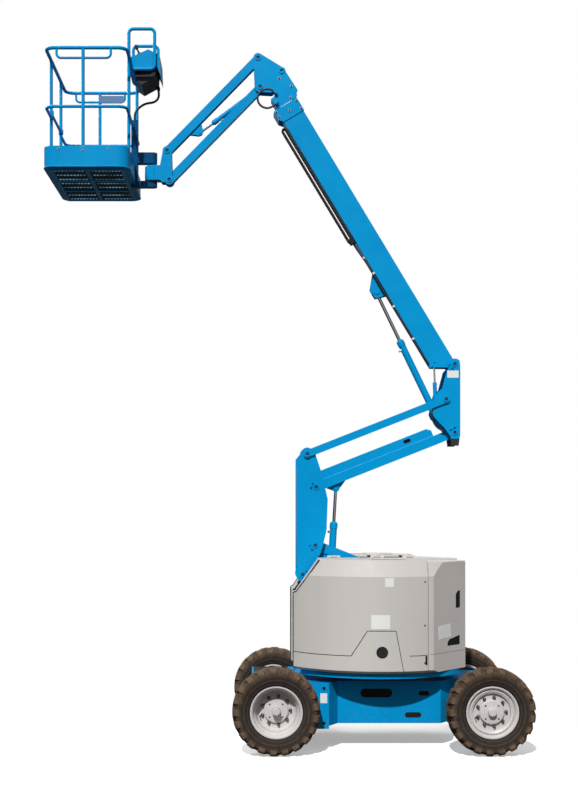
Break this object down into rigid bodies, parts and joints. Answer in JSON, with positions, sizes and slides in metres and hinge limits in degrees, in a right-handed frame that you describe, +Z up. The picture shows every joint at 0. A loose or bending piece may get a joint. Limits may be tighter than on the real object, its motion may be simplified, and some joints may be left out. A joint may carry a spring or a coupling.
{
  "type": "articulating boom lift",
  "caption": "Self-propelled articulating boom lift: wheeled chassis, turning superstructure, folding arms, telescopic boom, jib and work platform.",
  "frame": {"origin": "on the floor under the turntable's slewing axis", "axes": "+Z up, -X towards the platform end, +X towards the counterweight and the steered axle, Y across the machine"},
  "size_m": [4.326, 1.85, 6.496],
  "materials": {
    "blue_paint": "glossy bright blue enamel",
    "grey_plastic": "moulded warm grey plastic, slightly grained",
    "grey_casting": "cast weight painted warm grey",
    "dark_steel": "dark painted steel",
    "iron": "plain cast block",
    "rubber": "black rubber",
    "black_plastic": "black plastic chain",
    "hose_rubber": "matt black hydraulic hose",
    "chrome": "hard chrome rod",
    "tyre": "dusty black tyre rubber",
    "rim_paint": "silver grey painted steel"
  },
  "bodies": {
    "chassis": {"chassis_frame": "blue_paint", "drive_hubs": "dark_steel", "steer_axle": "dark_steel", "slew_ring": "dark_steel"},
    "knuckle_near": {"knuckle_near": "dark_steel"},
    "knuckle_far": {"knuckle_far": "dark_steel"},
    "tie_rod": {"tie_rod": "dark_steel"},
    "turntable": {"deck": "blue_paint", "pivot_tower": "blue_paint", "bulkheads": "blue_paint", "counterweight": "grey_casting", "engine_block": "iron"},
    "cover_near": {"cover_near": "grey_plastic"},
    "cover_far": {"cover_far": "grey_plastic"},
    "lower_arm": {"lower_arm": "blue_paint"},
    "lower_link": {"lower_link": "blue_paint"},
    "post": {"post": "blue_paint"},
    "upper_arm": {"upper_arm": "blue_paint"},
    "upper_link": {"upper_link": "blue_paint"},
    "riser": {"riser": "blue_paint", "bumpers": "rubber", "riser_hose": "hose_rubber"},
    "boom_outer": {"boom_outer": "blue_paint", "cable_chain": "black_plastic", "boom_hose": "hose_rubber"},
    "boom_inner": {"boom_inner": "blue_paint", "tip_hose": "hose_rubber"},
    "jib_mount": {"jib_mount": "blue_paint"},
    "jib_upper": {"jib_upper": "blue_paint"},
    "jib_lower": {"jib_lower": "blue_paint"},
    "platform_mount": {"platform_mount": "blue_paint"},
    "platform": {"platform_support": "blue_paint", "platform_floor": "blue_paint", "guard_rails": "blue_paint", "control_box": "blue_paint", "control_guard": "blue_paint", "platform_cable": "hose_rubber", "control_pan": "black_plastic", "mid_rails": "blue_paint", "rail_posts": "blue_paint", "handholds": "blue_paint"},
    "entry_bar": {"entry_bar": "blue_paint"},
    "wheel_drive_near": {"tyre_drive_near": "tyre", "rim_drive_near": "rim_paint"},
    "wheel_drive_far": {"tyre_drive_far": "tyre", "rim_drive_far": "rim_paint"},
    "wheel_steer_near": {"tyre_steer_near": "tyre", "rim_steer_near": "rim_paint"},
    "wheel_steer_far": {"tyre_steer_far": "tyre", "rim_steer_far": "rim_paint"},
    "secondary_barrel": {"secondary_barrel": "blue_paint"},
    "secondary_rod": {"secondary_rod": "chrome"},
    "lift_barrel": {"lift_barrel": "blue_paint"},
    "lift_rod": {"lift_rod": "chrome"},
    "master_barrel": {"master_barrel": "blue_paint"},
    "master_rod": {"master_rod": "chrome"},
    "jib_barrel": {"jib_barrel": "blue_paint"},
    "jib_rod": {"jib_rod": "chrome"}
  },
  "joints": [
    {"name": "turntable_slew", "type": "hinge", "parent": "chassis", "child": "turntable", "pos_m": [0, 0, 0.66], "axis": [0, 0, 1], "range_deg": [-179, 179]},
    {"name": "secondary_lift", "type": "hinge", "parent": "turntable", "child": "lower_arm", "pos_m": [0.714, 0, 1.311], "axis": [0, 1, 0], "range_deg": [-28.5, 33]},
    {"name": "lower_link_turn", "type": "hinge", "parent": "turntable", "child": "lower_link", "pos_m": [0.599, 0, 1.04], "axis": [0, 1, 0], "range_deg": [-28.7, 33.2]},
    {"name": "post_turn", "type": "hinge", "parent": "lower_arm", "child": "post", "pos_m": [-0.56625, 0, 1.81531], "axis": [0, -1, 0], "range_deg": [-28.7, 33.2]},
    {"name": "upper_arm_turn", "type": "hinge", "parent": "post", "child": "upper_arm", "pos_m": [-0.55825, 0, 2.35431], "axis": [0, -1, 0], "range_deg": [-28.7, 33.2]},
    {"name": "upper_link_turn", "type": "hinge", "parent": "post", "child": "upper_link", "pos_m": [-0.64026, 0, 2.66031], "axis": [0, -1, 0], "range_deg": [-28.7, 33.2]},
    {"name": "riser_turn", "type": "hinge", "parent": "upper_arm", "child": "riser", "pos_m": [0.722, 0, 2.85861], "axis": [0, 1, 0], "range_deg": [-28.7, 33.2]},
    {"name": "secondary_barrel_turn", "type": "hinge", "parent": "lower_arm", "child": "secondary_barrel", "pos_m": [-0.40416, 0, 1.71384], "axis": [0, -1, 0], "range_deg": [-24.28, 28.08]},
    {"name": "secondary_rod_slide", "type": "slide", "parent": "secondary_barrel", "child": "secondary_rod", "axis": [0.058, 0, 0.9983], "range_m": [-0.1696, 0.196]},
    {"name": "boom_lift", "type": "hinge", "parent": "riser", "child": "boom_outer", "pos_m": [0.722, 0, 3.49061], "axis": [0, 1, 0], "range_deg": [-60, 15]},
    {"name": "lift_barrel_turn", "type": "hinge", "parent": "riser", "child": "lift_barrel", "pos_m": [0.558, 0, 3.03761], "axis": [0, 1, 0], "range_deg": [-49.4, 12.5]},
    {"name": "lift_rod_slide", "type": "slide", "parent": "lift_barrel", "child": "lift_rod", "axis": [-0.4347, 0, 0.9006], "range_m": [-0.431, 0.1092]},
    {"name": "master_barrel_turn", "type": "hinge", "parent": "riser", "child": "master_barrel", "pos_m": [0.558, -0.058, 3.03761], "axis": [0, 1, 0], "range_deg": [-1.7, 6.2]},
    {"name": "master_rod_slide", "type": "slide", "parent": "master_barrel", "child": "master_rod", "axis": [-0.0338, 0, 0.9994], "range_m": [-0.176, 0.0455]},
    {"name": "boom_telescope", "type": "slide", "parent": "boom_outer", "child": "boom_inner", "axis": [-0.5158, 0, 0.8567], "range_m": [0, 1.22]},
    {"name": "platform_level", "type": "hinge", "parent": "boom_inner", "child": "jib_mount", "pos_m": [-0.87481, 0, 6.21658], "axis": [0, -1, 0], "range_deg": [-60.2, 15.2]},
    {"name": "jib_lift", "type": "hinge", "parent": "jib_mount", "child": "jib_upper", "pos_m": [-1.095, 0, 6.347], "axis": [0, 1, 0], "range_deg": [-28.3, 110.7]},
    {"name": "jib_lower_turn", "type": "hinge", "parent": "jib_mount", "child": "jib_lower", "pos_m": [-1.075, 0, 6.077], "axis": [0, 1, 0], "range_deg": [-28.5, 110.9]},
    {"name": "jib_barrel_turn", "type": "hinge", "parent": "jib_mount", "child": "jib_barrel", "pos_m": [-1.075, 0, 6.077], "axis": [0, 1, 0], "range_deg": [-27.37, 106.47]},
    {"name": "jib_rod_slide", "type": "slide", "parent": "jib_barrel", "child": "jib_rod", "axis": [-0.8037, 0, -0.5951], "range_m": [-0.0968, 0.3728]},
    {"name": "platform_mount_turn", "type": "hinge", "parent": "jib_upper", "child": "platform_mount", "pos_m": [-1.94, 0, 5.482], "axis": [0, -1, 0], "range_deg": [-28.5, 110.9]},
    {"name": "platform_rotate", "type": "hinge", "parent": "platform_mount", "child": "platform", "pos_m": [-2.08, 0, 5.275], "axis": [0, 0, 1], "range_deg": [-90, 90]},
    {"name": "entry_bar_slide", "type": "slide", "parent": "platform", "child": "entry_bar", "axis": [0, 0, 1], "range_m": [0, 0.4]},
    {"name": "cover_near_hinge", "type": "hinge", "parent": "turntable", "child": "cover_near", "pos_m": [0, -0.193, 1.714], "axis": [-1, 0, 0], "range_deg": [0, 60]},
    {"name": "cover_far_hinge", "type": "hinge", "parent": "turntable", "child": "cover_far", "pos_m": [0, 0.193, 1.714], "axis": [1, 0, 0], "range_deg": [0, 60]},
    {"name": "steer", "type": "hinge", "parent": "chassis", "child": "knuckle_near", "pos_m": [0.94, -0.6, 0.385], "axis": [0, 0, 1], "range_deg": [-30, 30]},
    {"name": "knuckle_far_turn", "type": "hinge", "parent": "chassis", "child": "knuckle_far", "pos_m": [0.94, 0.6, 0.385], "axis": [0, 0, 1], "range_deg": [-30.2, 30.2]},
    {"name": "tie_rod_turn", "type": "hinge", "parent": "knuckle_near", "child": "tie_rod", "pos_m": [0.77, -0.6, 0.405], "axis": [0, 0, 1], "range_deg": [-30.2, 30.2]},
    {"name": "wheel_drive_near_spin", "type": "hinge", "parent": "chassis", "child": "wheel_drive_near", "pos_m": [-0.94, -0.793, 0.385], "axis": [0, 1, 0], "continuous": true},
    {"name": "wheel_drive_far_spin", "type": "hinge", "parent": "chassis", "child": "wheel_drive_far", "pos_m": [-0.94, 0.793, 0.385], "axis": [0, 1, 0], "continuous": true},
    {"name": "wheel_steer_near_spin", "type": "hinge", "parent": "knuckle_near", "child": "wheel_steer_near", "pos_m": [0.94, -0.793, 0.385], "axis": [0, 1, 0], "continuous": true},
    {"name": "wheel_steer_far_spin", "type": "hinge", "parent": "knuckle_far", "child": "wheel_steer_far", "pos_m": [0.94, 0.793, 0.385], "axis": [0, 1, 0], "continuous": true}
  ],
  "couplings": [
    {"joint": "lower_link_turn", "follows": "secondary_lift", "ratio": 1},
    {"joint": "post_turn", "follows": "secondary_lift", "ratio": 1},
    {"joint": "upper_arm_turn", "follows": "secondary_lift", "ratio": 1},
    {"joint": "upper_link_turn", "follows": "secondary_lift", "ratio": 1},
    {"joint": "riser_turn", "follows": "secondary_lift", "ratio": 1},
    {"joint": "secondary_barrel_turn", "follows": "secondary_lift", "ratio": 0.845},
    {"joint": "secondary_rod_slide", "follows": "secondary_lift", "m_per_rad": 0.3369},
    {"joint": "lift_barrel_turn", "follows": "boom_lift", "ratio": 0.82},
    {"joint": "lift_rod_slide", "follows": "boom_lift", "m_per_rad": 0.40967},
    {"joint": "master_barrel_turn", "follows": "boom_lift", "ratio": -0.1},
    {"joint": "master_rod_slide", "follows": "boom_lift", "m_per_rad": 0.16616},
    {"joint": "platform_level", "follows": "boom_lift", "ratio": 1},
    {"joint": "jib_lower_turn", "follows": "jib_lift", "ratio": 1},
    {"joint": "jib_barrel_turn", "follows": "jib_lift", "ratio": 0.96},
    {"joint": "jib_rod_slide", "follows": "jib_lift", "m_per_rad": 0.19194},
    {"joint": "platform_mount_turn", "follows": "jib_lift", "ratio": 1},
    {"joint": "knuckle_far_turn", "follows": "steer", "ratio": 1},
    {"joint": "tie_rod_turn", "follows": "steer", "ratio": -1}
  ]
}
